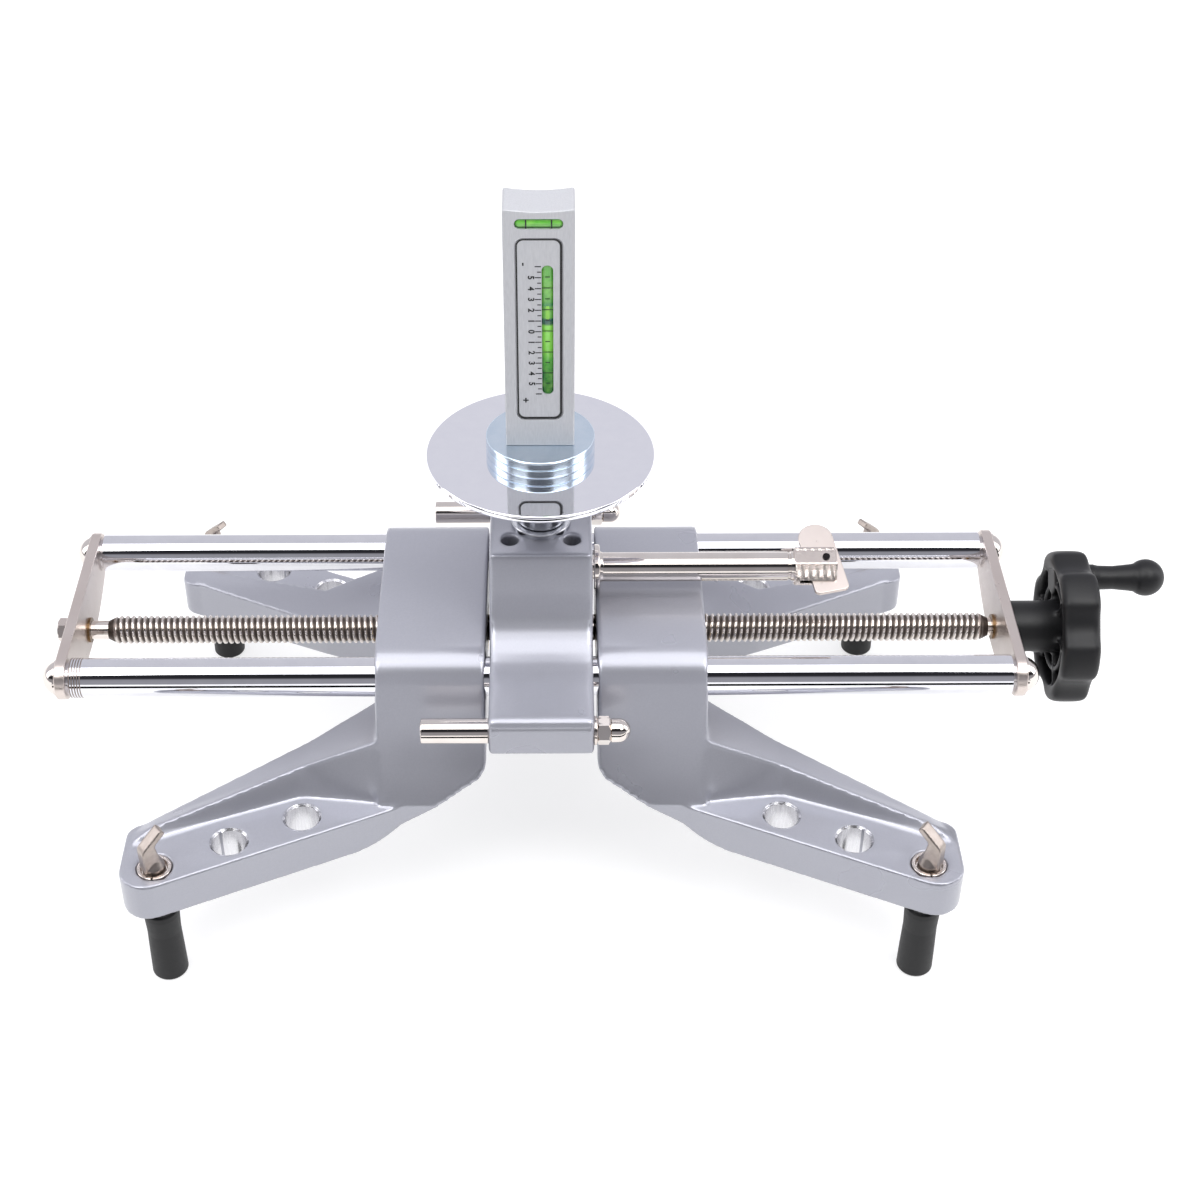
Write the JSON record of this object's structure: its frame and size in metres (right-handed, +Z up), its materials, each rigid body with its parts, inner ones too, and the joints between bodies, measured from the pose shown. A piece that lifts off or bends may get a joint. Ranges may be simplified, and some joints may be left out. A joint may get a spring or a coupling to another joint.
{
  "type": "camber caster gauge",
  "caption": "Four-claw wheel clamp whose two sliding carriages are driven by one screw, carrying a magnetic camber gauge with spirit vials on a mirror disc.",
  "frame": {"origin": "on the spindle axis, level with the ends of the four rubber feet, where the wheel's outer face lies", "axes": "+X along the guide rods towards the handwheel, +Y to the rear, +Z up, off the wheel, along the spindle"},
  "size_m": [0.4666, 0.2298, 0.2951],
  "materials": {
    "casting_paint": "silver-grey paint on cast aluminium, satin",
    "hard_chrome": "ground and hard-chromed",
    "nickel_plate": "nickel plated, warm and bright",
    "bronze": "plain bronze",
    "brass": "turned brass",
    "machined_steel": "turned steel",
    "black_plastic": "moulded, fine satin grain",
    "black_rubber": "matt rubber sleeve",
    "polished_disc": "polished to a mirror",
    "satin_aluminium": "satin, bead-blasted",
    "zinc_plate": "blue-white zinc plated, turned",
    "ferrite": "sintered ferrite",
    "green_vial": "clear vial with green spirit"
  },
  "bodies": {
    "frame": {"centre_bracket": "casting_paint", "front_guide_rod": "hard_chrome", "rear_guide_rod": "hard_chrome", "left_end_plate": "nickel_plate", "right_end_plate": "nickel_plate", "rod_end_screws": "nickel_plate", "front_cross_bolt": "nickel_plate", "rear_cross_bolt": "nickel_plate", "front_sleeve_nut": "nickel_plate", "rear_sleeve_nut": "nickel_plate", "acorn_nuts": "nickel_plate", "acorn_washers": "nickel_plate", "screw_bushes": "bronze", "spindle_bearing": "machined_steel"},
    "left_carriage": {"left_carriage": "casting_paint", "left_screw_nut": "brass", "left_rod_bushes": "bronze"},
    "right_carriage": {"right_carriage": "casting_paint", "right_screw_nut": "brass", "right_rod_bushes": "bronze"},
    "screw": {"lead_screw": "nickel_plate", "screw_end_nuts": "nickel_plate", "handwheel": "black_plastic", "handwheel_grub_screw": "machined_steel", "crank_stud": "machined_steel"},
    "crank_knob": {"crank_knob": "black_plastic"},
    "spindle": {"mirror_disc": "polished_disc", "spindle": "machined_steel", "disc_screw": "machined_steel"},
    "gauge": {"gauge_body": "satin_aluminium", "magnet_cup": "zinc_plate", "ring_magnet": "ferrite", "cup_screw": "machined_steel", "scale_plate": "satin_aluminium", "camber_vial": "green_vial", "level_vial": "green_vial"},
    "lock_screw": {"lock_screw": "nickel_plate", "lock_collar": "nickel_plate", "wing_pin": "nickel_plate"},
    "lock_wing": {"lock_wing": "nickel_plate"},
    "claw_front_left": {"claw_front_left": "nickel_plate", "claw_bush_front_left": "nickel_plate", "rubber_foot_front_left": "black_rubber"},
    "claw_front_right": {"claw_front_right": "nickel_plate", "claw_bush_front_right": "nickel_plate", "rubber_foot_front_right": "black_rubber"},
    "claw_rear_left": {"claw_rear_left": "nickel_plate", "claw_bush_rear_left": "nickel_plate", "rubber_foot_rear_left": "black_rubber"},
    "claw_rear_right": {"claw_rear_right": "nickel_plate", "claw_bush_rear_right": "nickel_plate", "rubber_foot_rear_right": "black_rubber"}
  },
  "joints": [
    {"name": "left_carriage_slide", "type": "slide", "parent": "frame", "child": "left_carriage", "axis": [-1, 0, 0], "range_m": [0, 0.11]},
    {"name": "right_carriage_slide", "type": "slide", "parent": "frame", "child": "right_carriage", "axis": [1, 0, 0], "range_m": [0, 0.11]},
    {"name": "screw_turn", "type": "hinge", "parent": "frame", "child": "screw", "pos_m": [0, 0, 0.0955], "axis": [1, 0, 0], "range_deg": [0, 15840]},
    {"name": "crank_knob_spin", "type": "hinge", "parent": "screw", "child": "crank_knob", "pos_m": [0.24, 0.01262, 0.11165], "axis": [1, 0, 0], "continuous": true},
    {"name": "spindle_turn", "type": "hinge", "parent": "frame", "child": "spindle", "pos_m": [0, 0, 0.1505], "axis": [0, 0, 1], "continuous": true},
    {"name": "gauge_turn", "type": "hinge", "parent": "spindle", "child": "gauge", "pos_m": [0, 0.0019, 0.1856], "axis": [0, 0, 1], "continuous": true},
    {"name": "lock_screw_turn", "type": "hinge", "parent": "frame", "child": "lock_screw", "pos_m": [0.06, 0, 0.1279], "axis": [1, 0, 0], "range_deg": [-42, 14]},
    {"name": "lock_wing_rock", "type": "hinge", "parent": "lock_screw", "child": "lock_wing", "pos_m": [0.117, 0, 0.1279], "axis": [0, -0.342, 0.9397], "range_deg": [-30, 6.5]},
    {"name": "claw_front_left_turn", "type": "hinge", "parent": "left_carriage", "child": "claw_front_left", "pos_m": [-0.15304, -0.10324, 0.0495], "axis": [0, 0, 1], "range_deg": [-90, 90]},
    {"name": "claw_front_right_turn", "type": "hinge", "parent": "right_carriage", "child": "claw_front_right", "pos_m": [0.15304, -0.10324, 0.0495], "axis": [0, 0, 1], "range_deg": [-90, 90]},
    {"name": "claw_rear_left_turn", "type": "hinge", "parent": "left_carriage", "child": "claw_rear_left", "pos_m": [-0.15304, 0.10324, 0.0495], "axis": [0, 0, 1], "range_deg": [-90, 90]},
    {"name": "claw_rear_right_turn", "type": "hinge", "parent": "right_carriage", "child": "claw_rear_right", "pos_m": [0.15304, 0.10324, 0.0495], "axis": [0, 0, 1], "range_deg": [-90, 90]}
  ],
  "couplings": [
    {"joint": "screw_turn", "follows": "left_carriage_slide", "rad_per_m": 2513.3},
    {"joint": "right_carriage_slide", "follows": "left_carriage_slide", "ratio": 1}
  ]
}
